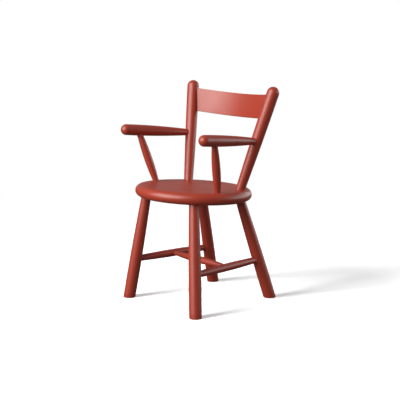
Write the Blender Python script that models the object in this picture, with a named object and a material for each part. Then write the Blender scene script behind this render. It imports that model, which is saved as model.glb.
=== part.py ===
"""A child-size armchair in painted wood: a round seat on four turned legs, with an H of stretchers,
two turned back posts with a bowed rail between them, and two turned arms on slanted supports.

Every piece is a solid of its own. Round tenons sit in blind mortises, and the rail's ends sit in
curved slots in the posts. Sizes are in metres and angles in degrees. The chair faces -Y, and its
left side, as one sits in it, is +X. The origin is on the floor, under the middle of the chair.
"""

from math import asin, cos, pi, radians, sin, tan

import bmesh
import bpy
from mathutils import Matrix, Vector

# Seat
SEAT_DIAMETER = 0.320
SEAT_THICKNESS = 0.0325
SEAT_EDGE_DEPTH = 0.018  # how far in from the rim the rounding starts
SEAT_HEIGHT = 0.322  # the top, at its centre
SEAT_TILT = 3.4  # the rear is lower than the front
SEAT_AHEAD = 0.0177  # its centre, in front of the origin

# Legs. A setback runs in from the seat's rim, and a bearing goes round from straight ahead.
FRONT_LEG_SETBACK = 0.0292
FRONT_LEG_BEARING = 49.7
FRONT_LEG_SPLAY_OUT = 8.2
FRONT_LEG_SPLAY_AHEAD = 6.1
REAR_LEG_SETBACK = 0.0309
REAR_LEG_BEARING = 141.2
REAR_LEG_SPLAY_OUT = 7.8
REAR_LEG_SPLAY_BACK = 15.8
LEG_FOOT_RADIUS = 0.0168
LEG_MID_RADIUS = 0.0164
LEG_TOP_RADIUS = 0.0132
FOOT_EDGE = 0.0015  # the rounding where the foot is cut level

# Stretchers
STRETCHER_HEIGHT = 0.1112
SIDE_STRETCHER_MID_RADIUS = 0.0108
SIDE_STRETCHER_END_RADIUS = 0.0089
CROSS_STRETCHER_MID_RADIUS = 0.0101
CROSS_STRETCHER_END_RADIUS = 0.0058

# Back posts
POST_SETBACK = 0.0296
POST_BEARING = 124.2
POST_LEAN_OUT = 11.9
POST_LEAN_BACK = 14.2
POST_LENGTH = 0.2924  # from the seat to the tip
POST_BASE_RADIUS = 0.0128
POST_MID_RADIUS = 0.0158
POST_HEAD_RADIUS = 0.0169

# Back rail
RAIL_WIDTH = 0.065
RAIL_THICKNESS = 0.009
RAIL_BOW = 0.038  # how far its middle stands behind the posts
RAIL_DROP = 0.0218  # from the posts' tips to its top edge, along the post
RAIL_EDGE = 0.0015  # the rounding along its edges
RAIL_CORNER_FROM = 60  # edges between faces at this angle or more are rounded

# Arms
ARM_HEIGHT = 0.1387  # along the post, from the seat
ARM_LENGTH = 0.2306  # from the post's axis to the tip
ARM_RISE = 5.8  # towards the front
ARM_FLARE = 7.4  # outwards, towards the front
ARM_FRONT_RADIUS = 0.0152
ARM_MID_RADIUS = 0.0143
ARM_REAR_RADIUS = 0.0094

# Arm supports
SUPPORT_SETBACK = 0.0271
SUPPORT_BEARING = 77.5
SUPPORT_FROM_TIP = 0.0546  # where it meets the arm's axis
SUPPORT_MID_RADIUS = 0.0113
SUPPORT_END_RADIUS = 0.0085

# Joints
CLEARANCE = 0.0003  # all round each tenon, and at its end
SEAT_TENON = 0.022  # legs, posts and supports, into the seat
ARM_TENON = 0.012  # into the post
SUPPORT_TENON = 0.013  # into the arm
SIDE_STRETCHER_TENON = 0.013  # into the leg
CROSS_STRETCHER_TENON = 0.014  # into the side stretcher
RAIL_TENON = 0.007  # past the post's axis
TENON_LEAD = 0.006  # a tenon's straight part starts this far outside its mortise

# Mesh resolution
SEAT_SIDES = 64
SEAT_EDGE_STEPS = 8
LEG_SIDES = 28
ARM_SIDES = 24
THIN_SIDES = 20
SHAFT_STEPS = 6
BALL_STEPS = 5
RAIL_COLUMNS = 16
EDGE_SEGMENTS = 2
SMOOTH_BELOW = 35  # faces that meet at a smaller angle than this shade as one surface

PAINT_RED = "B23A2A"
PAINT_ROUGHNESS = 0.35

UP = Vector((0, 0, 1))
SIDES = {"left": 1, "right": -1}


def linear_colour(hex_code):
    """An sRGB hex code as the linear RGBA that a shader takes."""
    channels = [int(hex_code[i : i + 2], 16) / 255 for i in (0, 2, 4)]
    return [c / 12.92 if c <= 0.04045 else ((c + 0.055) / 1.055) ** 2.4 for c in channels] + [1]


def red_paint(name):
    material = bpy.data.materials.new(name + "_paint")
    material.use_nodes = True
    shader = material.node_tree.nodes["Principled BSDF"]
    shader.inputs["Base Color"].default_value = linear_colour(PAINT_RED)
    shader.inputs["Roughness"].default_value = PAINT_ROUGHNESS
    shader.inputs["Metallic"].default_value = 0
    return material


def add_piece(name, mesh_in_progress, placing):
    """Makes the bmesh an object of the chair, with its own paint, at the place that a matrix gives."""
    mesh = bpy.data.meshes.new(name)
    mesh_in_progress.to_mesh(mesh)
    mesh_in_progress.free()
    mesh.shade_smooth()
    mesh.set_sharp_from_angle(angle=radians(SMOOTH_BELOW))
    mesh.materials.append(red_paint(name))
    piece = bpy.data.objects.new(name, mesh)
    bpy.context.scene.collection.objects.link(piece)
    piece.parent = chair
    piece.matrix_world = placing
    return piece


def make_cutter(piece):
    piece.hide_render = True
    piece.display_type = "WIRE"
    return piece


def cut(piece, cutter):
    boolean = piece.modifiers.new(cutter.name, "BOOLEAN")
    boolean.object = cutter
    boolean.operation = "DIFFERENCE"
    boolean.solver = "EXACT"


def along(start, end):
    """The frame of a turned piece: its origin at the start, and +Z towards the end."""
    return Matrix.Translation(start) @ (end - start).to_track_quat("Z", "Y").to_matrix().to_4x4()


def lathe(profile, sides):
    """Spins a profile of (distance along the axis, radius) round +Z into a closed surface."""
    turned = bmesh.new()
    points = [turned.verts.new((radius, 0, distance)) for distance, radius in profile]
    edges = [turned.edges.new(pair) for pair in zip(points, points[1:])]
    bmesh.ops.spin(
        turned, geom=points + edges, cent=(0, 0, 0), axis=UP, angle=2 * pi, steps=sides, use_merge=True
    )
    bmesh.ops.remove_doubles(turned, verts=turned.verts, dist=1e-6)
    bmesh.ops.recalc_face_normals(turned, faces=turned.faces)
    return turned


def swell(start, end, radii):
    """A shaft's (distance, radius) points: a smooth swell through its start, middle and end radii."""
    first, middle, last = radii
    points = []
    for step in range(SHAFT_STEPS + 1):
        t = step / SHAFT_STEPS
        radius = first * (1 - t) * (1 - 2 * t) + middle * 4 * t * (1 - t) + last * t * (2 * t - 1)
        points.append((start + t * (end - start), radius))
    return points


def radius_at(shaft, distance):
    """The radius between the two points of a swell that the distance falls between."""
    for (d0, r0), (d1, r1) in zip(shaft, shaft[1:]):
        if d0 <= distance <= d1:
            return r0 + (r1 - r0) * (distance - d0) / (d1 - d0)
    return shaft[0][1] if distance < shaft[0][0] else shaft[-1][1]


def ball_end(centre, radius):
    """The points that close a shaft with half a ball, from where they meet to the tip."""
    turns = [step / BALL_STEPS * pi / 2 for step in range(1, BALL_STEPS)]
    arc = [(centre + radius * sin(turn), radius * cos(turn)) for turn in turns]
    return arc + [(centre + radius, 0)]


def flat_end(distance, radius):
    """The points of a tenon's square end, from its middle to its rim."""
    return [(distance, 0), (distance, radius)]


def mortise(target, name, placing, sides, bottom, mouth, tenon_radius):
    """Cuts the round hole for a tenon, in the frame of the tenon's own piece."""
    radius = tenon_radius + CLEARANCE
    hole = lathe([(bottom, 0), (bottom, radius), (mouth, radius), (mouth, 0)], sides)
    cut(target, make_cutter(add_piece(name + "_mortise", hole, placing)))


def reach_through(radius, direction, axis):
    """How far a line runs from a rod's axis to its surface."""
    return radius / direction.cross(axis).length


def seat_frame():
    """The seat's top centre, with +Z square to the seat."""
    return Matrix.Translation((0, -SEAT_AHEAD, SEAT_HEIGHT)) @ Matrix.Rotation(radians(-SEAT_TILT), 4, "X")


def on_seat(side, bearing, setback, depth=0):
    """A point on the seat's top, or that far below it."""
    reach = SEAT_DIAMETER / 2 - setback
    turn = radians(bearing)
    return seat_frame() @ Vector((side * reach * sin(turn), -reach * cos(turn), -depth))


def make_seat():
    rim = SEAT_DIAMETER / 2 - SEAT_EDGE_DEPTH
    half = SEAT_THICKNESS / 2
    profile = [(0, 0)]
    for step in range(SEAT_EDGE_STEPS + 1):
        turn = pi * step / SEAT_EDGE_STEPS
        profile.append((half * cos(turn) - half, rim + SEAT_EDGE_DEPTH * sin(turn)))
    profile.append((-SEAT_THICKNESS, 0))
    return add_piece("seat", lathe(profile, SEAT_SIDES), seat_frame())


def make_leg(name, seat, top, splay):
    """Stands a leg under the seat, and gives its frame, its shaft and its axis."""
    foot = top - splay * (top.z / splay.z)
    placing = along(foot, top)
    length = (top - foot).length
    spare = 2 * LEG_FOOT_RADIUS
    shaft = swell(0, length - TENON_LEAD, (LEG_FOOT_RADIUS, LEG_MID_RADIUS, LEG_TOP_RADIUS))
    tip = length + SEAT_TENON
    tenon = [(tip, LEG_TOP_RADIUS), (tip, 0)]
    below_floor = flat_end(-spare, LEG_FOOT_RADIUS)
    turned = lathe(below_floor + shaft[1:] + tenon, LEG_SIDES)
    level_foot(turned, placing)
    leg = add_piece(name, turned, placing)
    mortise(seat, name, placing, LEG_SIDES, length - SEAT_THICKNESS, tip + CLEARANCE, LEG_TOP_RADIUS)
    return leg, placing, shaft


def level_foot(turned, placing):
    """Cuts the leg off at the floor and rounds the edge that the cut leaves."""
    floor = placing.inverted() @ Vector((0, 0, 0))
    down = placing.inverted().to_3x3() @ -UP
    everything = turned.verts[:] + turned.edges[:] + turned.faces[:]
    found = bmesh.ops.bisect_plane(
        turned, geom=everything, plane_co=floor, plane_no=down, clear_outer=True
    )
    rim = [part for part in found["geom_cut"] if isinstance(part, bmesh.types.BMEdge)]
    bmesh.ops.contextual_create(turned, geom=rim)
    bmesh.ops.recalc_face_normals(turned, faces=turned.faces)
    bmesh.ops.bevel(
        turned,
        geom=rim,
        offset=FOOT_EDGE,
        segments=EDGE_SEGMENTS,
        profile=0.5,
        affect="EDGES",
    )


def splay(side, out, ahead):
    """The upward direction of a piece whose lower end splays out and ahead by these angles."""
    return Vector((-side * tan(radians(out)), tan(radians(ahead)), 1)).normalized()


def make_legs(seat):
    """Both pairs of legs, by side and end."""
    legs = {}
    for label, side in SIDES.items():
        front_top = on_seat(side, FRONT_LEG_BEARING, FRONT_LEG_SETBACK, SEAT_THICKNESS)
        rear_top = on_seat(side, REAR_LEG_BEARING, REAR_LEG_SETBACK, SEAT_THICKNESS)
        front_up = splay(side, FRONT_LEG_SPLAY_OUT, FRONT_LEG_SPLAY_AHEAD)
        rear_up = splay(side, REAR_LEG_SPLAY_OUT, -REAR_LEG_SPLAY_BACK)
        legs[label, "front"] = make_leg(f"front_{label}_leg", seat, front_top, front_up)
        legs[label, "rear"] = make_leg(f"rear_{label}_leg", seat, rear_top, rear_up)
    return legs


def axis_at_height(placing, height):
    """Where a leg's axis is at this height, and how far along the leg that lies."""
    start = placing.translation
    up = placing.to_3x3() @ UP
    distance = (height - start.z) / up.z
    return start + up * distance, distance


def make_stretcher(name, ends, radii, tenon, end_sockets):
    """A stretcher between two rods' axes. Each socket is its rod, the rod's axis and its radius there."""
    start, end = ends
    placing = along(start, end)
    direction = (end - start).normalized()
    length = (end - start).length
    faces = [reach_through(radius, direction, axis) for _, axis, radius in end_sockets]
    end_radius = radii[0]
    near_tip = faces[0] - tenon
    far_tip = length - faces[1] + tenon
    shaft = swell(faces[0] + TENON_LEAD, length - faces[1] - TENON_LEAD, radii)
    profile = flat_end(near_tip, end_radius) + shaft + flat_end(far_tip, end_radius)[::-1]
    stretcher = add_piece(name, lathe(profile, THIN_SIDES), placing)
    near_rod, far_rod = (rod for rod, _, _ in end_sockets)
    near_mouth = faces[0] + TENON_LEAD
    far_mouth = length - faces[1] - TENON_LEAD
    mortise(near_rod, name + "_near", placing, THIN_SIDES, near_tip - CLEARANCE, near_mouth, end_radius)
    mortise(far_rod, name + "_far", placing, THIN_SIDES, far_mouth, far_tip + CLEARANCE, end_radius)
    return stretcher, placing, shaft


def make_stretchers(legs):
    """A stretcher on each side, and one across between their middles."""
    middles = {}
    side_radii = (SIDE_STRETCHER_END_RADIUS, SIDE_STRETCHER_MID_RADIUS, SIDE_STRETCHER_END_RADIUS)
    for label in SIDES:
        ends = []
        sockets = []
        for end in ("front", "rear"):
            leg, placing, shaft = legs[label, end]
            point, distance = axis_at_height(placing, STRETCHER_HEIGHT)
            ends.append(point)
            sockets.append((leg, placing.to_3x3() @ UP, radius_at(shaft, distance)))
        name = f"{label}_side_stretcher"
        stretcher, placing, _ = make_stretcher(name, ends, side_radii, SIDE_STRETCHER_TENON, sockets)
        socket = (stretcher, placing.to_3x3() @ UP, SIDE_STRETCHER_MID_RADIUS)
        middles[label] = ((ends[0] + ends[1]) / 2, socket)
    cross_radii = (CROSS_STRETCHER_END_RADIUS, CROSS_STRETCHER_MID_RADIUS, CROSS_STRETCHER_END_RADIUS)
    cross_ends = [middle for middle, _ in middles.values()]
    cross_sockets = [socket for _, socket in middles.values()]
    make_stretcher("cross_stretcher", cross_ends, cross_radii, CROSS_STRETCHER_TENON, cross_sockets)


def make_posts(seat):
    """The two back posts, by side, each with its frame and its shaft."""
    posts = {}
    for label, side in SIDES.items():
        base = on_seat(side, POST_BEARING, POST_SETBACK)
        placing = along(base, base + splay(side, -POST_LEAN_OUT, POST_LEAN_BACK))
        head = POST_LENGTH - POST_HEAD_RADIUS
        shaft = swell(TENON_LEAD, head, (POST_BASE_RADIUS, POST_MID_RADIUS, POST_HEAD_RADIUS))
        profile = flat_end(-SEAT_TENON, POST_BASE_RADIUS) + shaft + ball_end(head, POST_HEAD_RADIUS)
        name = f"{label}_back_post"
        post = add_piece(name, lathe(profile, LEG_SIDES), placing)
        bottom = -SEAT_TENON - CLEARANCE
        mortise(seat, name, placing, LEG_SIDES, bottom, SEAT_THICKNESS, POST_BASE_RADIUS)
        posts[label] = (post, placing, shaft)
    return posts


def rail_sheet(half_span, splay_per_height, width, tenon):
    """The rail's middle surface: part of a cylinder through both posts, its ends cut parallel to them."""
    bend_radius = (half_span**2 + RAIL_BOW**2) / (2 * RAIL_BOW)
    sheet = bmesh.new()
    rows = []
    for height in (-width / 2, width / 2):
        half_turn = asin((half_span + height * splay_per_height + tenon) / bend_radius)
        turns = [half_turn * (2 * column / RAIL_COLUMNS - 1) for column in range(RAIL_COLUMNS + 1)]
        across = [(bend_radius * sin(turn), bend_radius * (cos(turn) - 1) + RAIL_BOW) for turn in turns]
        rows.append([sheet.verts.new((x, y, height)) for x, y in across])
    for column in range(RAIL_COLUMNS):
        low, high = (row[column : column + 2] for row in rows)
        sheet.faces.new((low[0], low[1], high[1], high[0]))
    return sheet


def thicken(piece, thickness):
    solidify = piece.modifiers.new("thickness", "SOLIDIFY")
    solidify.thickness = thickness
    solidify.offset = 0
    solidify.use_even_offset = True


def make_rail(posts):
    """The bowed rail, in slots that the posts are cut with. It is as upright as the posts' own plane."""
    lean = radians(POST_LEAN_BACK)
    _, post_placing, _ = posts["left"]
    post_up = post_placing.to_3x3() @ UP
    top_on_post = post_placing @ Vector((0, 0, POST_LENGTH - RAIL_DROP))
    rail_up = Vector((0, sin(lean), cos(lean)))
    splay_per_height = post_up.x / post_up.dot(rail_up)
    middle = top_on_post - rail_up * RAIL_WIDTH / 2
    half_span = top_on_post.x - splay_per_height * RAIL_WIDTH / 2
    placing = Matrix.Translation((0, middle.y, middle.z)) @ Matrix.Rotation(-lean, 4, "X")
    rail = add_piece("back_rail", rail_sheet(half_span, splay_per_height, RAIL_WIDTH, RAIL_TENON), placing)
    thicken(rail, RAIL_THICKNESS)
    rounding = rail.modifiers.new("rounded_edges", "BEVEL")
    rounding.width = RAIL_EDGE
    rounding.segments = EDGE_SEGMENTS
    rounding.limit_method = "ANGLE"
    rounding.angle_limit = radians(RAIL_CORNER_FROM)
    slot_width = RAIL_WIDTH + 2 * CLEARANCE
    slot_sheet = rail_sheet(half_span, splay_per_height, slot_width, RAIL_TENON + CLEARANCE)
    slot = make_cutter(add_piece("back_rail_slot", slot_sheet, placing))
    thicken(slot, RAIL_THICKNESS + 2 * CLEARANCE)
    for post, _, _ in posts.values():
        cut(post, slot)


def make_arms(posts):
    """The two arms, by side, each with its frame and its shaft. They start at the posts' axes."""
    arms = {}
    for label, side in SIDES.items():
        post, post_placing, post_shaft = posts[label]
        joint = post_placing @ Vector((0, 0, ARM_HEIGHT))
        level = cos(radians(ARM_RISE))
        turn = radians(ARM_FLARE)
        ahead = Vector((side * level * sin(turn), -level * cos(turn), sin(radians(ARM_RISE))))
        placing = along(joint, joint + ahead)
        post_radius = radius_at(post_shaft, ARM_HEIGHT)
        face = reach_through(post_radius, ahead, post_placing.to_3x3() @ UP)
        ball = ARM_LENGTH - ARM_FRONT_RADIUS
        shaft = swell(face, ball, (ARM_REAR_RADIUS, ARM_MID_RADIUS, ARM_FRONT_RADIUS))
        tip = face - ARM_TENON
        profile = flat_end(tip, ARM_REAR_RADIUS) + shaft + ball_end(ball, ARM_FRONT_RADIUS)
        name = f"{label}_arm"
        arm = add_piece(name, lathe(profile, ARM_SIDES), placing)
        mortise(post, name, placing, ARM_SIDES, tip - CLEARANCE, face + TENON_LEAD, ARM_REAR_RADIUS)
        arms[label] = (arm, placing, shaft)
    return arms


def make_supports(seat, arms):
    for label, side in SIDES.items():
        arm, arm_placing, arm_shaft = arms[label]
        base = on_seat(side, SUPPORT_BEARING, SUPPORT_SETBACK)
        along_arm = ARM_LENGTH - SUPPORT_FROM_TIP
        top = arm_placing @ Vector((0, 0, along_arm))
        placing = along(base, top)
        direction = (top - base).normalized()
        arm_radius = radius_at(arm_shaft, along_arm)
        face = (top - base).length - reach_through(arm_radius, direction, arm_placing.to_3x3() @ UP)
        radii = (SUPPORT_END_RADIUS, SUPPORT_MID_RADIUS, SUPPORT_END_RADIUS)
        shaft = swell(TENON_LEAD, face - TENON_LEAD, radii)
        tip = face + SUPPORT_TENON
        upper_end = flat_end(tip, SUPPORT_END_RADIUS)[::-1]
        profile = flat_end(-SEAT_TENON, SUPPORT_END_RADIUS) + shaft + upper_end
        name = f"{label}_arm_support"
        add_piece(name, lathe(profile, THIN_SIDES), placing)
        bottom = -SEAT_TENON - CLEARANCE
        mortise(seat, name + "_seat", placing, THIN_SIDES, bottom, SEAT_THICKNESS, SUPPORT_END_RADIUS)
        mouth = face - TENON_LEAD
        mortise(arm, name + "_arm", placing, THIN_SIDES, mouth, tip + CLEARANCE, SUPPORT_END_RADIUS)


for old in list(bpy.data.objects):
    bpy.data.objects.remove(old)

chair = bpy.data.objects.new("chair", None)
bpy.context.scene.collection.objects.link(chair)

chair_seat = make_seat()
make_stretchers(make_legs(chair_seat))
back_posts = make_posts(chair_seat)
make_rail(back_posts)
make_supports(chair_seat, make_arms(back_posts))
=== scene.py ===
"""A child-size armchair in red satin paint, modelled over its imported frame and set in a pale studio.

The file is laid out as an add-on: each size and colour is a property, each group of pieces has an
operator, and a panel lists them. Run as a script, it makes the whole chair and its stage.

Sizes are in metres. The chair faces -Y, its left side, as one sits in it, is +X, and the floor is
at z = 0. Each piece stands where its solid in the frame stands, and replaces it.
"""

from math import cos, pi, radians, sin, tan

import bpy
from bpy.props import FloatProperty, FloatVectorProperty, PointerProperty
from mathutils import Matrix, Vector


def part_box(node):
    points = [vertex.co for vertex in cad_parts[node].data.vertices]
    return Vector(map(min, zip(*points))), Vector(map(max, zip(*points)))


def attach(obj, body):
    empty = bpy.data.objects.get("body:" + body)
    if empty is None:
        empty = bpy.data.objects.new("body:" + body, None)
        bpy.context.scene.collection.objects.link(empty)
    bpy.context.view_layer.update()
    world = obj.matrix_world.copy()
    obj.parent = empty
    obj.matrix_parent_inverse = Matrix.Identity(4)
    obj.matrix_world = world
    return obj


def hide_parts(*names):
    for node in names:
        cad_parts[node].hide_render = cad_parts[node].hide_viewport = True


bl_info = {
    "name": "Turned Child Armchair",
    "version": (1, 0, 0),
    "blender": (4, 5, 0),
    "location": "3D View > Sidebar > Chair",
    "description": "Makes a child-size armchair of turned and painted wood, piece by piece",
    "category": "Add Mesh",
}

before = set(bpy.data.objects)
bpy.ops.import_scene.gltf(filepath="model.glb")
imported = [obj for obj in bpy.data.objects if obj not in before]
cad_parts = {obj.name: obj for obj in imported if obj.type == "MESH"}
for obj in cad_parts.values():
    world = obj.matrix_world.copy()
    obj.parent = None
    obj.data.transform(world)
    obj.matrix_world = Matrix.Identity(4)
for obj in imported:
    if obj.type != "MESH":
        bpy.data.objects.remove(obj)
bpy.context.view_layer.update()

UP = Vector((0, 0, 1))
SIDES = {"left": 1, "right": -1}

# How finely the pieces are modelled
SEAT_SIDES = 160
ROD_SIDES = 64
SHAFT_STATIONS = 18
BALL_STATIONS = 12
SEAT_EDGE_STATIONS = 24
RAIL_HOOP_SIDES = 480
FOOT_EDGE_SEGMENTS = 3
RAIL_EDGE_SEGMENTS = 6
SMOOTH_BELOW = radians(35)  # faces that meet at a smaller angle shade as one surface
CORNER_FROM = radians(60)  # the rail's faces that meet at this angle or more are eased
FIT_WITHIN = 0.0015  # a piece may differ from its solid's box by this much

WHITE = (1, 1, 1)
WARM_WHITE = (1.0, 0.985, 0.96)
COOL_WHITE = (0.985, 0.995, 1.0)
SENSOR_WIDTH = 36  # of the camera, in mm


def linear_colour(hex_code):
    """An sRGB hex code as the linear RGB that shaders take."""
    channels = [int(hex_code[i : i + 2], 16) / 255 for i in (0, 2, 4)]
    return [c / 12.92 if c <= 0.04045 else ((c + 0.055) / 1.055) ** 2.4 for c in channels]


def length(name, description, default):
    return FloatProperty(
        name=name, description=description, default=default, min=0, precision=4, unit="LENGTH"
    )


def angle(name, description, degrees):
    return FloatProperty(name=name, description=description, default=radians(degrees), unit="ROTATION")


def share(name, description, default):
    return FloatProperty(name=name, description=description, default=default, min=0, max=1)


def radiance(name, description, default):
    return FloatProperty(name=name, description=description, default=default, min=0)


def colour(name, description, hex_code):
    linear = linear_colour(hex_code)
    return FloatVectorProperty(
        name=name, description=description, default=linear, subtype="COLOR", min=0, max=1
    )


class SeatSizes(bpy.types.PropertyGroup):
    diameter: length("Diameter", "Across the round seat", 0.320)
    thickness: length("Thickness", "Of the seat board", 0.0325)
    edge_depth: length("Edge depth", "How far in from the rim the rounding starts", 0.018)
    height: length("Height", "From the floor to the middle of the seat's top", 0.322)
    tilt: angle("Tilt", "How far the seat leans back", 3.4)
    ahead: length("Ahead", "From the origin forward to the seat's middle", 0.0177)


class LegSizes(bpy.types.PropertyGroup):
    front_setback: length("Front setback", "In from the seat's rim", 0.0292)
    front_bearing: angle("Front bearing", "Round the seat from straight ahead", 49.7)
    front_splay_out: angle("Front splay out", "Sideways", 8.2)
    front_splay_ahead: angle("Front splay ahead", "Forwards", 6.1)
    rear_setback: length("Rear setback", "In from the seat's rim", 0.0309)
    rear_bearing: angle("Rear bearing", "Round the seat from straight ahead", 141.2)
    rear_splay_out: angle("Rear splay out", "Sideways", 7.8)
    rear_splay_back: angle("Rear splay back", "Backwards", 15.8)
    foot_radius: length("Foot radius", "At the floor", 0.0168)
    middle_radius: length("Middle radius", "Half way up", 0.0164)
    top_radius: length("Top radius", "Under the seat", 0.0132)
    foot_edge: length("Foot edge", "The rounding where the foot is cut level", 0.0015)


class StretcherSizes(bpy.types.PropertyGroup):
    height: length("Height", "From the floor to the stretchers' middle lines", 0.1112)
    side_middle_radius: length("Side stretcher radius", "In the middle", 0.0108)
    side_end_radius: length("Side stretcher end radius", "At the legs", 0.0089)
    cross_middle_radius: length("Cross stretcher radius", "In the middle", 0.0101)
    cross_end_radius: length("Cross stretcher end radius", "At the side stretchers", 0.0058)


class PostSizes(bpy.types.PropertyGroup):
    setback: length("Setback", "In from the seat's rim", 0.0296)
    bearing: angle("Bearing", "Round the seat from straight ahead", 124.2)
    lean_out: angle("Lean out", "Sideways", 11.9)
    lean_back: angle("Lean back", "Backwards", 14.2)
    length: length("Length", "From the seat to the tip", 0.2924)
    base_radius: length("Base radius", "At the seat", 0.0128)
    middle_radius: length("Middle radius", "Half way up", 0.0158)
    head_radius: length("Head radius", "Of the ball end", 0.0169)


class RailSizes(bpy.types.PropertyGroup):
    width: length("Width", "From edge to edge", 0.065)
    thickness: length("Thickness", "Of the bent board", 0.009)
    bow: length("Bow", "How far its middle stands behind the posts", 0.038)
    drop: length("Drop", "From the posts' tips to its top edge, along the post", 0.0218)
    edge: length("Edge", "The rounding along its edges", 0.004)


class ArmSizes(bpy.types.PropertyGroup):
    height: length("Height", "From the seat, along the post", 0.1387)
    length: length("Length", "From the post's middle line to the tip", 0.2306)
    rise: angle("Rise", "Towards the front", 5.8)
    flare: angle("Flare", "Outwards, towards the front", 7.4)
    front_radius: length("Front radius", "Of the ball end", 0.0152)
    middle_radius: length("Middle radius", "Half way along", 0.0143)
    rear_radius: length("Rear radius", "At the post", 0.0094)


class SupportSizes(bpy.types.PropertyGroup):
    setback: length("Setback", "In from the seat's rim", 0.0271)
    bearing: angle("Bearing", "Round the seat from straight ahead", 77.5)
    from_tip: length("From the arm's tip", "Where it meets the arm's middle line", 0.0546)
    middle_radius: length("Middle radius", "Half way up", 0.0113)
    end_radius: length("End radius", "At the seat and the arm", 0.0085)


class JointSizes(bpy.types.PropertyGroup):
    gap: length("Gap", "Between a tenon and its mortise", 0.00005)
    seat_tenon: length("Seat tenon", "Of legs, posts and supports in the seat", 0.022)
    arm_tenon: length("Arm tenon", "Of an arm in its post", 0.012)
    support_tenon: length("Support tenon", "Of a support in its arm", 0.013)
    side_tenon: length("Side stretcher tenon", "In the leg", 0.013)
    cross_tenon: length("Cross stretcher tenon", "In the side stretcher", 0.014)
    rail_tenon: length("Rail tenon", "Past the post's middle line", 0.007)
    lead: length("Lead", "A tenon's straight part starts this far outside its mortise", 0.006)


class PaintLook(bpy.types.PropertyGroup):
    red: colour("Red", "Where the paint film is of even thickness", "A83A25")
    deep_red: colour("Deep red", "Where the film is a little thicker", "A03521")
    gloss_roughness: share("Glossier roughness", "Where the film flowed out well", 0.37)
    dull_roughness: share("Duller roughness", "Where it dried faster", 0.43)
    ior: FloatProperty(name="IOR", description="Of the dried alkyd film", default=1.63, min=1)


class StudioLook(bpy.types.PropertyGroup):
    azimuth: angle("View azimuth", "Round the chair from straight ahead, towards its left", 48.77)
    elevation: angle("View elevation", "Of the camera above the chair", 10.376)
    distance: length("View distance", "From the camera to the point it looks at", 3.0225)
    target: FloatVectorProperty(
        name="View target",
        description="The point in the middle of the picture",
        default=(0.0114, -0.0052, 0.2828),
        subtype="TRANSLATION",
        unit="LENGTH",
    )
    lens: FloatProperty(
        name="Lens", description=f"Focal length in mm on a {SENSOR_WIDTH} mm sensor", default=98.9, min=1
    )
    paper: colour("Paper", "Of the background paper, to the camera", "EDEDED")
    paper_glow: share("Paper glow", "What the camera sees of the paper in full shadow", 0.3)
    dim_floor: colour("Dim floor", "Of the same paper, to the chair", "505050")
    room_radiance: radiance("Room radiance", "Of the dark side of the room", 0.05)
    wall_radiance: radiance("Wall radiance", "Of the pale wall behind the chair", 0.3)
    wall_azimuth: angle("Wall azimuth", "Round the chair from straight ahead", 190)
    window_radiance: radiance("Window radiance", "Of the large soft light in front", 5.8)
    window_azimuth: angle("Window azimuth", "Round the chair from straight ahead", -6.5)
    window_elevation: angle("Window elevation", "Of the light's middle, as the chair sees it", 29)
    window_distance: length("Window distance", "From the chair", 8)
    window_width: length("Window width", "From side to side", 8.5)
    window_height: length("Window height", "From top to bottom", 7.4)
    key_radiance: radiance("Key radiance", "Of the smaller light that falls on the paper alone", 44)
    key_azimuth: angle("Key azimuth", "Round the chair from straight ahead", -12)
    key_elevation: angle("Key elevation", "Of the light's middle, as the chair sees it", 21)
    key_distance: length("Key distance", "From the chair", 8)
    key_width: length("Key width", "From side to side", 3.3)
    key_height: length("Key height", "From top to bottom", 4.2)
    card_radiance: radiance("Card radiance", "Of the low pale card behind the chair's left", 2.2)
    card_azimuth: angle("Card azimuth", "Round the chair from straight ahead", 165)
    card_elevation: angle("Card elevation", "Of the card's middle, as the chair sees it", 12)
    card_distance: length("Card distance", "From the chair", 3)
    card_width: length("Card width", "From side to side", 4.6)
    card_height: length("Card height", "From top to bottom", 1.5)


class ChairSizes(bpy.types.PropertyGroup):
    """All the chair's property groups in one place, by short names."""

    seat: PointerProperty(type=SeatSizes, name="Seat")
    leg: PointerProperty(type=LegSizes, name="Legs")
    stretcher: PointerProperty(type=StretcherSizes, name="Stretchers")
    post: PointerProperty(type=PostSizes, name="Back posts")
    rail: PointerProperty(type=RailSizes, name="Back rail")
    arm: PointerProperty(type=ArmSizes, name="Arms")
    support: PointerProperty(type=SupportSizes, name="Arm supports")
    joint: PointerProperty(type=JointSizes, name="Joints")
    paint: PointerProperty(type=PaintLook, name="Paint")
    studio: PointerProperty(type=StudioLook, name="Studio")


def add_node(tree, kind, settings=None, inputs=None):
    """Adds a node with its settings. An input is a value, or the output that it is linked to."""
    node = tree.nodes.new(kind)
    for name, value in (settings or {}).items():
        setattr(node, name, value)
    for name, value in (inputs or {}).items():
        if isinstance(value, bpy.types.NodeSocket):
            tree.links.new(value, node.inputs[name])
        else:
            node.inputs[name].default_value = value
    return node


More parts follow.
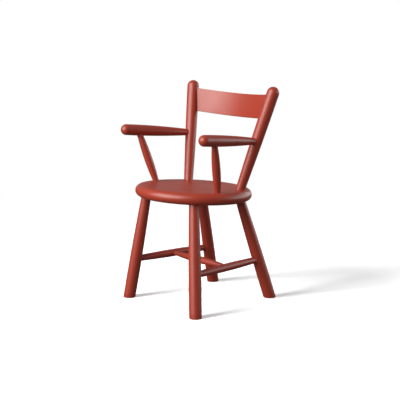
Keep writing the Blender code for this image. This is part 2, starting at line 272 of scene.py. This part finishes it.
def satin_paint_on_beech(name, placing, look):
    """Alkyd satin paint, sprayed on turned beech and rubbed down between coats.

    It gives the eye an even brick red, a soft sheen, a very faint orange peel, and under it the
    long pores of the wood, which still show where light grazes a rod. The pores run along the
    piece, so the pattern is turned to the piece's own axis.
    """
    pore_width = 0.0016  # drawn coarser than beech's own 0.3 mm, so that it shows
    pore_length_ratio = 30
    pore_depth = 0.00004
    peel_width = 0.0035  # from one bump of the orange peel to the next
    peel_depth = 0.00005
    relief = 0.08  # the film fills most of both patterns
    flow_width = 0.060  # from one thicker patch of the film to the next
    flow_low, flow_high = 0.3, 0.7  # nearly all of the flow pattern's values lie between these
    fine, coarse = 2, 1  # how many times finer noise is laid over a pattern
    material = bpy.data.materials.new(name)
    material.use_nodes = True
    tree = material.node_tree
    shader = tree.nodes["Principled BSDF"]
    on_piece = add_node(tree, "ShaderNodeTexCoord").outputs["Object"]
    along_piece = add_node(
        tree,
        "ShaderNodeMapping",
        {"vector_type": "TEXTURE"},
        {
            "Vector": on_piece,
            "Location": placing.translation,
            "Rotation": placing.to_euler(),
            "Scale": (1, 1, pore_length_ratio),
        },
    )
    pores = add_node(
        tree,
        "ShaderNodeTexNoise",
        inputs={"Vector": along_piece.outputs["Vector"], "Scale": 1 / pore_width, "Detail": fine},
    )
    peel = add_node(
        tree, "ShaderNodeTexNoise", inputs={"Vector": on_piece, "Scale": 1 / peel_width, "Detail": coarse}
    )
    flow = add_node(
        tree, "ShaderNodeTexNoise", inputs={"Vector": on_piece, "Scale": 1 / flow_width, "Detail": fine}
    )
    film = add_node(
        tree,
        "ShaderNodeMix",
        {"data_type": "RGBA"},
        {"Factor": flow.outputs["Fac"], "A": (*look.red, 1), "B": (*look.deep_red, 1)},
    )
    dullness = add_node(
        tree,
        "ShaderNodeMapRange",
        inputs={
            "Value": flow.outputs["Fac"],
            "From Min": flow_low,
            "From Max": flow_high,
            "To Min": look.gloss_roughness,
            "To Max": look.dull_roughness,
        },
    )
    wood_relief = add_node(
        tree,
        "ShaderNodeBump",
        inputs={"Strength": relief, "Distance": pore_depth, "Height": pores.outputs["Fac"]},
    )
    paint_relief = add_node(
        tree,
        "ShaderNodeBump",
        inputs={
            "Strength": relief,
            "Distance": peel_depth,
            "Height": peel.outputs["Fac"],
            "Normal": wood_relief.outputs["Normal"],
        },
    )
    tree.links.new(film.outputs["Result"], shader.inputs["Base Color"])
    tree.links.new(dullness.outputs["Result"], shader.inputs["Roughness"])
    tree.links.new(paint_relief.outputs["Normal"], shader.inputs["Normal"])
    shader.inputs["IOR"].default_value = look.ior
    return material


def deselect_all():
    bpy.ops.object.select_all(action="DESELECT")


def select_only(piece):
    deselect_all()
    piece.select_set(True)
    bpy.context.view_layer.objects.active = piece


def place(piece, placing):
    """Puts a piece that was modelled at the origin in its place, and leaves its object at the origin."""
    piece.matrix_world = placing
    select_only(piece)
    bpy.ops.object.transform_apply(location=True, rotation=True, scale=True)


def cut_away(target, cutter):
    """Cuts a closed shape out of a piece, and throws the shape away."""
    select_only(target)
    boolean = target.modifiers.new("mortise", "BOOLEAN")
    boolean.object = cutter
    boolean.operation = "DIFFERENCE"
    boolean.solver = "EXACT"
    bpy.ops.object.modifier_apply(modifier=boolean.name)
    bpy.data.objects.remove(cutter)


def finish_piece(piece, node, placing, look):
    """Smooths and paints a finished piece, and has it stand for its solid in the frame."""
    by_axis = list(zip(*(vertex.co for vertex in piece.data.vertices)))
    low, high = (Vector([end(values) for values in by_axis]) for end in (min, max))
    solid_low, solid_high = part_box(node)
    if max((low - solid_low).length, (high - solid_high).length) > FIT_WITHIN:
        raise RuntimeError(
            f"{piece.name} stands off its solid: {low} {high}, not {solid_low} {solid_high}"
        )
    select_only(piece)
    bpy.ops.object.shade_smooth_by_angle(angle=SMOOTH_BELOW)
    piece.data.materials.clear()
    piece.data.materials.append(satin_paint_on_beech(f"satin_paint_{node}", placing, look))
    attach(piece, "root")
    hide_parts(node)


def turn_rod(name, profile, placing):
    """Turns a rod along its axis: a disc is extruded and resized from each station to the next."""
    (distance, radius), *stations = profile
    deselect_all()
    bpy.ops.mesh.primitive_circle_add(vertices=ROD_SIDES, radius=radius, fill_type="NGON")
    rod = bpy.context.object
    rod.name = rod.data.name = name
    bpy.ops.object.mode_set(mode="EDIT")
    bpy.ops.mesh.select_all(action="SELECT")
    bpy.ops.transform.translate(value=(0, 0, distance))
    for next_distance, next_radius in stations:
        step = (0, 0, next_distance - distance)
        bpy.ops.mesh.extrude_region_move(TRANSFORM_OT_translate={"value": step})
        if next_radius == 0:
            bpy.ops.mesh.merge(type="CENTER")
            break
        growth = next_radius / radius
        bpy.ops.transform.resize(value=(growth, growth, 1), center_override=(0, 0, next_distance))
        distance, radius = next_distance, next_radius
    bpy.ops.mesh.select_all(action="SELECT")
    bpy.ops.mesh.normals_make_consistent(inside=False)
    bpy.ops.object.mode_set(mode="OBJECT")
    place(rod, placing)
    return rod


def drill(target, placing, bottom, mouth, radius):
    """Drills the blind hole for a tenon, along the tenon's own axis."""
    deselect_all()
    bpy.ops.mesh.primitive_cylinder_add(vertices=ROD_SIDES, radius=radius, depth=abs(mouth - bottom))
    bit = bpy.context.object
    place(bit, placing @ Matrix.Translation((0, 0, (mouth + bottom) / 2)))
    cut_away(target, bit)


def along(start, end):
    """The frame of a turned piece: its origin at the start, and +Z towards the end."""
    return Matrix.Translation(start) @ (end - start).to_track_quat("Z", "Y").to_matrix().to_4x4()


def axis_of(placing):
    return placing.to_3x3() @ UP


def swell_radius(radii, t):
    """The radius at a share of a shaft's length, on a smooth swell through its three radii."""
    first, middle, last = radii
    return first * (1 - t) * (1 - 2 * t) + middle * 4 * t * (1 - t) + last * t * (2 * t - 1)


class Rod:
    """A turned rod's frame, and the shaft between its ends."""

    def __init__(self, placing, start, end, radii):
        self.placing = placing
        self.axis = axis_of(placing)
        self.start = start
        self.end = end
        self.radii = radii

    def radius_at(self, distance):
        t = (distance - self.start) / (self.end - self.start)
        return swell_radius(self.radii, min(max(t, 0), 1))

    def point(self, distance):
        return self.placing @ Vector((0, 0, distance))

    def shaft(self):
        """The (distance, radius) stations from the start of the shaft to its end."""
        shares = [step / SHAFT_STATIONS for step in range(SHAFT_STATIONS + 1)]
        span = self.end - self.start
        return [(self.start + t * span, swell_radius(self.radii, t)) for t in shares]


def ball_end(centre, radius):
    """The stations that close a shaft with half a ball, from where they meet to the tip."""
    turns = [pi / 2 * step / BALL_STATIONS for step in range(1, BALL_STATIONS)]
    tip = (centre + radius, 0)
    return [(centre + radius * sin(turn), radius * cos(turn)) for turn in turns] + [tip]


def reach_through(radius, direction, axis):
    """How far a line runs from a rod's axis to its surface."""
    return radius / direction.cross(axis).length


def seat_frame(sizes):
    """The seat's top centre, with +Z square to the seat."""
    seat = sizes.seat
    return Matrix.Translation((0, -seat.ahead, seat.height)) @ Matrix.Rotation(-seat.tilt, 4, "X")


def on_seat(sizes, side, bearing, setback, depth=0.0):
    """A point on the seat's top, or that far below it."""
    reach = sizes.seat.diameter / 2 - setback
    return seat_frame(sizes) @ Vector((side * reach * sin(bearing), -reach * cos(bearing), -depth))


def splay(side, out, ahead):
    """The upward direction of a piece whose lower end splays out and ahead by these angles."""
    return Vector((-side * tan(out), tan(ahead), 1)).normalized()


def leg_rod(sizes, side, end):
    leg = sizes.leg
    thickness = sizes.seat.thickness
    if end == "front":
        top = on_seat(sizes, side, leg.front_bearing, leg.front_setback, thickness)
        up = splay(side, leg.front_splay_out, leg.front_splay_ahead)
    else:
        top = on_seat(sizes, side, leg.rear_bearing, leg.rear_setback, thickness)
        up = splay(side, leg.rear_splay_out, -leg.rear_splay_back)
    foot = top - up * (top.z / up.z)
    radii = (leg.foot_radius, leg.middle_radius, leg.top_radius)
    return Rod(along(foot, top), 0, (top - foot).length - sizes.joint.lead, radii)


def post_rod(sizes, side):
    post = sizes.post
    base = on_seat(sizes, side, post.bearing, post.setback)
    placing = along(base, base + splay(side, -post.lean_out, post.lean_back))
    radii = (post.base_radius, post.middle_radius, post.head_radius)
    return Rod(placing, sizes.joint.lead, post.length - post.head_radius, radii)


def arm_rod(sizes, side):
    """The arm's frame starts on the post's axis, and its shaft at the post's surface."""
    arm = sizes.arm
    post = post_rod(sizes, side)
    joint = post.point(arm.height)
    level = cos(arm.rise)
    ahead = Vector((side * level * sin(arm.flare), -level * cos(arm.flare), sin(arm.rise)))
    face = reach_through(post.radius_at(arm.height), ahead, post.axis)
    radii = (arm.rear_radius, arm.middle_radius, arm.front_radius)
    return Rod(along(joint, joint + ahead), face, arm.length - arm.front_radius, radii)


def support_rod(sizes, side):
    """The support's shaft ends short of the arm by a tenon's lead."""
    support = sizes.support
    lead = sizes.joint.lead
    arm = arm_rod(sizes, side)
    meets = sizes.arm.length - support.from_tip
    base = on_seat(sizes, side, support.bearing, support.setback)
    top = arm.point(meets)
    placing = along(base, top)
    face = (top - base).length - reach_through(arm.radius_at(meets), axis_of(placing), arm.axis)
    radii = (support.end_radius, support.middle_radius, support.end_radius)
    return Rod(placing, lead, face - lead, radii)


def stretcher_rod(start, end, sockets, radii, lead):
    """A stretcher between two rods. Each socket is a rod's axis and its radius there."""
    placing = along(start, end)
    faces = [reach_through(radius, axis_of(placing), axis) for axis, radius in sockets]
    return Rod(placing, faces[0] + lead, (end - start).length - faces[1] - lead, radii)


def side_stretcher_rod(sizes, side):
    stretcher = sizes.stretcher
    ends = []
    sockets = []
    for end in ("front", "rear"):
        leg = leg_rod(sizes, side, end)
        distance = stretcher.height / leg.axis.z
        ends.append(leg.point(distance))
        sockets.append((leg.axis, leg.radius_at(distance)))
    radii = (stretcher.side_end_radius, stretcher.side_middle_radius, stretcher.side_end_radius)
    return stretcher_rod(*ends, sockets, radii, sizes.joint.lead)


def cross_stretcher_rod(sizes):
    stretcher = sizes.stretcher
    middles = []
    sockets = []
    for side in SIDES.values():
        rod = side_stretcher_rod(sizes, side)
        ends = [leg_rod(sizes, side, end) for end in ("front", "rear")]
        middles.append(sum((leg.point(stretcher.height / leg.axis.z) for leg in ends), Vector()) / 2)
        sockets.append((rod.axis, stretcher.side_middle_radius))
    radii = (stretcher.cross_end_radius, stretcher.cross_middle_radius, stretcher.cross_end_radius)
    return stretcher_rod(*middles, sockets, radii, sizes.joint.lead)


def rail_placing(sizes):
    """The rail's frame, its half span and how its ends spread upwards.

    The frame's origin is midway between the posts' axes, and its +Z runs up in the posts' plane.
    """
    post = post_rod(sizes, SIDES["left"])
    lean = sizes.post.lean_back
    rail_up = Vector((0, sin(lean), cos(lean)))
    top = post.point(sizes.post.length - sizes.rail.drop)
    middle = top - rail_up * sizes.rail.width / 2
    spread = post.axis.x / post.axis.dot(rail_up)
    half_span = top.x - spread * sizes.rail.width / 2
    placing = Matrix.Translation((0, middle.y, middle.z)) @ Matrix.Rotation(-lean, 4, "X")
    return placing, half_span, spread


def make_seat(sizes):
    """Shapes the seat board from a disc, and drills it for the legs, posts and supports."""
    seat = sizes.seat
    joint = sizes.joint
    rim = seat.diameter / 2 - seat.edge_depth
    half = seat.thickness / 2
    deselect_all()
    bpy.ops.mesh.primitive_circle_add(vertices=SEAT_SIDES, radius=rim, fill_type="NGON")
    board = bpy.context.object
    board.name = board.data.name = "painted_seat"
    bpy.ops.object.mode_set(mode="EDIT")
    bpy.ops.mesh.select_all(action="SELECT")
    bpy.ops.mesh.inset(thickness=seat.edge_depth / SEAT_EDGE_STATIONS)
    bpy.ops.mesh.select_all(action="SELECT")
    bpy.ops.mesh.region_to_loop()
    radius = rim
    depth = 0.0
    for station in range(1, SEAT_EDGE_STATIONS + 1):
        turn = pi * station / SEAT_EDGE_STATIONS
        next_radius = rim + seat.edge_depth * sin(turn)
        next_depth = half * cos(turn) - half
        bpy.ops.mesh.extrude_edges_move(TRANSFORM_OT_translate={"value": (0, 0, next_depth - depth)})
        growth = next_radius / radius
        bpy.ops.transform.resize(value=(growth, growth, 1), center_override=(0, 0, next_depth))
        radius, depth = next_radius, next_depth
    bpy.ops.mesh.edge_face_add()
    bpy.ops.mesh.inset(thickness=seat.edge_depth / SEAT_EDGE_STATIONS)
    bpy.ops.mesh.select_all(action="SELECT")
    bpy.ops.mesh.normals_make_consistent(inside=False)
    bpy.ops.object.mode_set(mode="OBJECT")
    place(board, seat_frame(sizes))
    for side in SIDES.values():
        for end in ("front", "rear"):
            leg = leg_rod(sizes, side, end)
            top = leg.end + joint.lead
            tip = top + joint.seat_tenon + joint.gap
            drill(board, leg.placing, tip, top - seat.thickness, leg.radii[-1] + joint.gap)
        for rod in (post_rod(sizes, side), support_rod(sizes, side)):
            bottom = -joint.seat_tenon - joint.gap
            drill(board, rod.placing, bottom, seat.thickness, rod.radii[0] + joint.gap)
    finish_piece(board, "seat", seat_frame(sizes) @ Matrix.Rotation(pi / 2, 4, "X"), sizes.paint)


def make_legs(sizes):
    """Turns each leg, cuts its foot level with the floor, and drills it for its stretcher."""
    joint = sizes.joint
    for label, side in SIDES.items():
        stretcher = side_stretcher_rod(sizes, side)
        for end in ("front", "rear"):
            rod = leg_rod(sizes, side, end)
            spare = 2 * sizes.leg.foot_radius  # enough for a level cut across the splayed leg
            below_floor = [(-spare, sizes.leg.foot_radius)]
            tip = rod.end + joint.lead + joint.seat_tenon
            profile = below_floor + rod.shaft()[1:] + [(tip, sizes.leg.top_radius)]
            leg = turn_rod(f"painted_{end}_{label}_leg", profile, rod.placing)
            level_foot(sizes, leg)
            if end == "front":
                near_tip = stretcher.start - joint.lead - joint.side_tenon - joint.gap
                drill(leg, stretcher.placing, near_tip, stretcher.start, stretcher.radii[0] + joint.gap)
            else:
                far_tip = stretcher.end + joint.lead + joint.side_tenon + joint.gap
                drill(leg, stretcher.placing, far_tip, stretcher.end, stretcher.radii[-1] + joint.gap)
            finish_piece(leg, f"{end}_{label}_leg", rod.placing, sizes.paint)


def level_foot(sizes, leg):
    """Saws the leg off at the floor and breaks the sawn edge."""
    select_only(leg)
    bpy.ops.object.mode_set(mode="EDIT")
    bpy.ops.mesh.select_all(action="SELECT")
    bpy.ops.mesh.bisect(plane_co=(0, 0, 0), plane_no=(0, 0, -1), use_fill=True, clear_outer=True)
    bpy.ops.mesh.bevel(offset=sizes.leg.foot_edge, segments=FOOT_EDGE_SEGMENTS, affect="EDGES")
    bpy.ops.object.mode_set(mode="OBJECT")


def rod_between_tenons(rod, near_tenon, far_tenon, lead):
    """A rod's stations with a straight tenon at each end."""
    near = (rod.start - lead - near_tenon, rod.radii[0])
    far = (rod.end + lead + far_tenon, rod.radii[-1])
    return [near] + rod.shaft() + [far]


def make_stretchers(sizes):
    """Turns the three stretchers of the H, and drills the side ones for the cross stretcher."""
    joint = sizes.joint
    cross = cross_stretcher_rod(sizes)
    near_tip = cross.start - joint.lead - joint.cross_tenon - joint.gap
    far_tip = cross.end + joint.lead + joint.cross_tenon + joint.gap
    holes = {"left": (near_tip, cross.start), "right": (far_tip, cross.end)}
    for label, side in SIDES.items():
        rod = side_stretcher_rod(sizes, side)
        profile = rod_between_tenons(rod, joint.side_tenon, joint.side_tenon, joint.lead)
        stretcher = turn_rod(f"painted_{label}_side_stretcher", profile, rod.placing)
        tip, mouth = holes[label]
        drill(stretcher, cross.placing, tip, mouth, cross.radii[0] + joint.gap)
        finish_piece(stretcher, f"{label}_side_stretcher", rod.placing, sizes.paint)
    profile = rod_between_tenons(cross, joint.cross_tenon, joint.cross_tenon, joint.lead)
    stretcher = turn_rod("painted_cross_stretcher", profile, cross.placing)
    finish_piece(stretcher, "cross_stretcher", cross.placing, sizes.paint)


def make_back_posts(sizes):
    """Turns the posts with their ball ends, slots them for the rail and drills them for the arms."""
    joint = sizes.joint
    for label, side in SIDES.items():
        rod = post_rod(sizes, side)
        head = rod.radii[-1]
        profile = [(-joint.seat_tenon, rod.radii[0])] + rod.shaft() + ball_end(rod.end, head)
        post = turn_rod(f"painted_{label}_back_post", profile, rod.placing)
        slot = bend_rail(sizes, "rail_slot", joint.rail_tenon + joint.gap)
        select_only(slot)
        bpy.ops.object.mode_set(mode="EDIT")
        bpy.ops.mesh.select_all(action="SELECT")
        bpy.ops.transform.shrink_fatten(value=joint.gap)
        bpy.ops.object.mode_set(mode="OBJECT")
        cut_away(post, slot)
        arm = arm_rod(sizes, side)
        tip = arm.start - joint.arm_tenon - joint.gap
        drill(post, arm.placing, tip, arm.start + joint.lead, arm.radii[0] + joint.gap)
        finish_piece(post, f"{label}_back_post", rod.placing, sizes.paint)


def bend_rail(sizes, name, tenon):
    """Bends the rail's board, whose ends reach past the posts' middle lines by the tenon.

    A hoop is cut down to its arc between the posts, thickened, and eased along its edges.
    """
    rail = sizes.rail
    placing, half_span, spread = rail_placing(sizes)
    bend_radius = (half_span**2 + rail.bow**2) / (2 * rail.bow)
    deselect_all()
    bpy.ops.mesh.primitive_cylinder_add(
        vertices=RAIL_HOOP_SIDES, radius=bend_radius, depth=rail.width, end_fill_type="NOTHING"
    )
    board = bpy.context.object
    board.name = board.data.name = name
    bpy.ops.object.mode_set(mode="EDIT")
    bpy.ops.mesh.select_all(action="SELECT")
    hoop_centre = (0, rail.bow - bend_radius, 0)
    bpy.ops.transform.translate(value=hoop_centre)
    bpy.ops.mesh.bisect(plane_co=hoop_centre, plane_no=(0, -1, 0), clear_outer=True)
    for side in SIDES.values():
        bpy.ops.mesh.select_all(action="SELECT")
        bpy.ops.mesh.bisect(
            plane_co=(side * (half_span + tenon), 0, 0), plane_no=(side, 0, -spread), clear_outer=True
        )
    bpy.ops.object.mode_set(mode="OBJECT")
    thickness = board.modifiers.new("thickness", "SOLIDIFY")
    thickness.thickness = rail.thickness
    thickness.offset = 0
    thickness.use_even_offset = True
    edge = board.modifiers.new("eased_edge", "BEVEL")
    edge.width = rail.edge
    edge.segments = RAIL_EDGE_SEGMENTS
    edge.limit_method = "ANGLE"
    edge.angle_limit = CORNER_FROM
    select_only(board)
    bpy.ops.object.modifier_apply(modifier=thickness.name)
    bpy.ops.object.modifier_apply(modifier=edge.name)
    place(board, placing)
    return board


def make_back_rail(sizes):
    rail = bend_rail(sizes, "painted_back_rail", sizes.joint.rail_tenon)
    across, _, _ = rail_placing(sizes)
    finish_piece(rail, "back_rail", across @ Matrix.Rotation(pi / 2, 4, "Y"), sizes.paint)


def make_arms(sizes):
    """Turns the arms with their ball ends, and drills them for their supports."""
    joint = sizes.joint
    for label, side in SIDES.items():
        rod = arm_rod(sizes, side)
        front = rod.radii[-1]
        profile = [(rod.start - joint.arm_tenon, rod.radii[0])] + rod.shaft() + ball_end(rod.end, front)
        arm = turn_rod(f"painted_{label}_arm", profile, rod.placing)
        support = support_rod(sizes, side)
        tip = support.end + joint.lead + joint.support_tenon + joint.gap
        drill(arm, support.placing, tip, support.end, support.radii[-1] + joint.gap)
        finish_piece(arm, f"{label}_arm", rod.placing, sizes.paint)


def make_arm_supports(sizes):
    joint = sizes.joint
    for label, side in SIDES.items():
        rod = support_rod(sizes, side)
        near = (-joint.seat_tenon, rod.radii[0])
        far = (rod.end + joint.lead + joint.support_tenon, rod.radii[-1])
        support = turn_rod(f"painted_{label}_arm_support", [near] + rod.shaft() + [far], rod.placing)
        finish_piece(support, f"{label}_arm_support", rod.placing, sizes.paint)


def paper_floor(studio):
    """White background paper, rolled out under the chair.

    The camera sees it as plain white, with the chair's soft shadow on it. The paint sees a dim
    grey floor, as in a studio whose light falls on the chair alone.
    """
    shadow_reach = 0.6  # the shadow shows in full up to here
    white_from = 1.8  # and not at all from here on
    material = bpy.data.materials.new("white_paper")
    material.use_nodes = True
    tree = material.node_tree
    tree.nodes.remove(tree.nodes["Principled BSDF"])
    paper = add_node(tree, "ShaderNodeBsdfDiffuse", inputs={"Color": (*studio.paper, 1)})
    glow = add_node(tree, "ShaderNodeEmission", inputs={"Strength": studio.paper_glow})
    lit_paper = add_node(
        tree, "ShaderNodeAddShader", inputs={0: paper.outputs["BSDF"], 1: glow.outputs["Emission"]}
    )
    from_middle = add_node(tree, "ShaderNodeTexCoord").outputs["Object"]
    reach = add_node(tree, "ShaderNodeVectorMath", {"operation": "LENGTH"}, {0: from_middle})
    whiteness = add_node(
        tree,
        "ShaderNodeMapRange",
        {"interpolation_type": "SMOOTHSTEP"},
        {"Value": reach.outputs["Value"], "From Min": shadow_reach, "From Max": white_from},
    )
    white = add_node(tree, "ShaderNodeEmission", inputs={"Strength": 1})
    seen_paper = add_node(  # a Mix Shader takes its factor first, and then its two shaders
        tree,
        "ShaderNodeMixShader",
        inputs={
            0: whiteness.outputs["Result"],
            1: lit_paper.outputs["Shader"],
            2: white.outputs["Emission"],
        },
    )
    dim_floor = add_node(tree, "ShaderNodeBsdfDiffuse", inputs={"Color": (*studio.dim_floor, 1)})
    rays = add_node(tree, "ShaderNodeLightPath")
    surface = add_node(
        tree,
        "ShaderNodeMixShader",
        inputs={
            0: rays.outputs["Is Camera Ray"],
            1: dim_floor.outputs["BSDF"],
            2: seen_paper.outputs["Shader"],
        },
    )
    tree.links.new(surface.outputs["Shader"], tree.nodes["Material Output"].inputs["Surface"])
    return material


def light_world(studio):
    """A white room to the camera, and to the chair a dim one with a paler wall behind it."""
    wall_begins = -0.4  # this and the next are cosines of the angle from the wall's middle
    wall_in_full = 0.3
    world = bpy.data.worlds.new("studio_room")
    bpy.context.scene.world = world
    world.use_nodes = True
    tree = world.node_tree
    background = tree.nodes["Background"]
    rays = add_node(tree, "ShaderNodeLightPath")
    direction = add_node(tree, "ShaderNodeTexCoord").outputs["Generated"]
    to_wall = (sin(studio.wall_azimuth), -cos(studio.wall_azimuth), 0)
    facing = add_node(
        tree, "ShaderNodeVectorMath", {"operation": "DOT_PRODUCT"}, {0: direction, 1: to_wall}
    )
    room = add_node(
        tree,
        "ShaderNodeMapRange",
        {"interpolation_type": "SMOOTHSTEP"},
        {
            "Value": facing.outputs["Value"],
            "From Min": wall_begins,
            "From Max": wall_in_full,
            "To Min": studio.room_radiance,
            "To Max": studio.wall_radiance,
        },
    )
    seen = add_node(
        tree,
        "ShaderNodeMix",
        {"data_type": "FLOAT"},
        {"Factor": rays.outputs["Is Camera Ray"], "A": room.outputs["Result"], "B": 1.0},
    )
    background.inputs["Color"].default_value = (*WHITE, 1)
    tree.links.new(seen.outputs["Result"], background.inputs["Strength"])


def towards(azimuth, elevation):
    """The direction at an azimuth round the chair from straight ahead, and an elevation above it."""
    level = cos(elevation)
    return Vector((sin(azimuth) * level, -cos(azimuth) * level, sin(elevation)))


def hang_light(studio, name, tint):
    """A soft light that faces the chair, of even radiance over its width and height."""
    azimuth, elevation, distance, width, height, strength = (
        getattr(studio, f"{name}_{value}")
        for value in ("azimuth", "elevation", "distance", "width", "height", "radiance")
    )
    middle_of_chair = Vector((0, 0, 0.3))
    direction = towards(azimuth, elevation)
    place_of_light = middle_of_chair + direction * distance
    facing = direction.to_track_quat("Z", "Y").to_euler()
    deselect_all()
    bpy.ops.object.light_add(type="AREA", location=place_of_light, rotation=facing)
    lamp = bpy.context.object
    lamp.name = lamp.data.name = f"{name}_light"
    lamp.data.shape = "RECTANGLE"
    lamp.data.size = width
    lamp.data.size_y = height
    lamp.data.color = tint
    lamp.data.energy = strength * pi * width * height
    lamp.visible_camera = False
    return lamp


def choose_lit(lamp, paper, state):
    """Has a light fall on the paper alone (INCLUDE), or on everything but the paper (EXCLUDE)."""
    lit = bpy.data.collections.new(f"{lamp.name}_falls_on")
    lit.objects.link(paper)
    lit.collection_objects[0].light_linking.link_state = state
    lamp.light_linking.receiver_collection = lit


def set_stage(sizes):
    """Rolls out the paper, hangs the lights and sets up the camera.

    The chair's own shading is that of a wide window, and its shadows on the paper are those of a
    narrower light. So the window falls on all but the paper, and the key light on the paper alone.
    """
    studio = sizes.studio
    floor_reach = 40
    deselect_all()
    bpy.ops.mesh.primitive_plane_add(size=2 * floor_reach, location=(0, 0, 0))
    floor = bpy.context.object
    floor.name = floor.data.name = "paper_floor"
    floor.data.materials.append(paper_floor(studio))
    light_world(studio)
    choose_lit(hang_light(studio, "window", WARM_WHITE), floor, "EXCLUDE")
    choose_lit(hang_light(studio, "key", COOL_WHITE), floor, "INCLUDE")
    hang_light(studio, "card", WHITE)
    back = towards(studio.azimuth, studio.elevation)
    place_of_camera = Vector(studio.target) + back * studio.distance
    facing = back.to_track_quat("Z", "Y").to_euler()
    deselect_all()
    bpy.ops.object.camera_add(location=place_of_camera, rotation=facing)
    camera = bpy.context.object
    camera.name = "photo_camera"
    camera.data.lens = studio.lens
    camera.data.sensor_width = SENSOR_WIDTH
    bpy.context.scene.camera = camera
    bpy.context.scene.view_settings.view_transform = "Standard"


class ChairStep:
    """What every step's operator shares."""

    bl_options = {"REGISTER", "UNDO"}

    def execute(self, context):
        self.make(context.scene.chair_sizes)
        return {"FINISHED"}


class CHAIR_OT_seat(ChairStep, bpy.types.Operator):
    """Makes the round seat board with its mortises"""

    bl_idname = "chair.seat"
    bl_label = "Seat"

    def make(self, sizes):
        make_seat(sizes)


class CHAIR_OT_legs(ChairStep, bpy.types.Operator):
    """Makes the four splayed legs"""

    bl_idname = "chair.legs"
    bl_label = "Legs"

    def make(self, sizes):
        make_legs(sizes)


class CHAIR_OT_stretchers(ChairStep, bpy.types.Operator):
    """Makes the side stretchers and the cross stretcher"""

    bl_idname = "chair.stretchers"
    bl_label = "Stretchers"

    def make(self, sizes):
        make_stretchers(sizes)


class CHAIR_OT_back_posts(ChairStep, bpy.types.Operator):
    """Makes the two leaning back posts"""

    bl_idname = "chair.back_posts"
    bl_label = "Back posts"

    def make(self, sizes):
        make_back_posts(sizes)


class CHAIR_OT_back_rail(ChairStep, bpy.types.Operator):
    """Makes the bowed rail between the posts"""

    bl_idname = "chair.back_rail"
    bl_label = "Back rail"

    def make(self, sizes):
        make_back_rail(sizes)


class CHAIR_OT_arms(ChairStep, bpy.types.Operator):
    """Makes the two arms"""

    bl_idname = "chair.arms"
    bl_label = "Arms"

    def make(self, sizes):
        make_arms(sizes)


class CHAIR_OT_arm_supports(ChairStep, bpy.types.Operator):
    """Makes the spindles under the arms"""

    bl_idname = "chair.arm_supports"
    bl_label = "Arm supports"

    def make(self, sizes):
        make_arm_supports(sizes)


class CHAIR_OT_stage(ChairStep, bpy.types.Operator):
    """Sets the floor, the light and the camera"""

    bl_idname = "chair.stage"
    bl_label = "Stage"

    def make(self, sizes):
        set_stage(sizes)


STEPS = (
    CHAIR_OT_seat,
    CHAIR_OT_legs,
    CHAIR_OT_stretchers,
    CHAIR_OT_back_posts,
    CHAIR_OT_back_rail,
    CHAIR_OT_arms,
    CHAIR_OT_arm_supports,
    CHAIR_OT_stage,
)


class CHAIR_PT_steps(bpy.types.Panel):
    """Lists the steps in the order in which they are taken"""

    bl_idname = "CHAIR_PT_steps"
    bl_label = "Child armchair"
    bl_space_type = "VIEW_3D"
    bl_region_type = "UI"
    bl_category = "Chair"

    def draw(self, context):
        for step in STEPS:
            self.layout.operator(step.bl_idname)


GROUPS = (
    SeatSizes,
    LegSizes,
    StretcherSizes,
    PostSizes,
    RailSizes,
    ArmSizes,
    SupportSizes,
    JointSizes,
    PaintLook,
    StudioLook,
    ChairSizes,
)


def register():
    for part in GROUPS + STEPS + (CHAIR_PT_steps,):
        bpy.utils.register_class(part)
    bpy.types.Scene.chair_sizes = PointerProperty(type=ChairSizes)


def unregister():
    del bpy.types.Scene.chair_sizes
    for part in reversed(GROUPS + STEPS + (CHAIR_PT_steps,)):
        bpy.utils.unregister_class(part)


def main():
    register()
    bpy.ops.chair.seat()
    bpy.ops.chair.legs()
    bpy.ops.chair.stretchers()
    bpy.ops.chair.back_posts()
    bpy.ops.chair.back_rail()
    bpy.ops.chair.arms()
    bpy.ops.chair.arm_supports()
    bpy.ops.chair.stage()


if __name__ == "__main__":
    main()
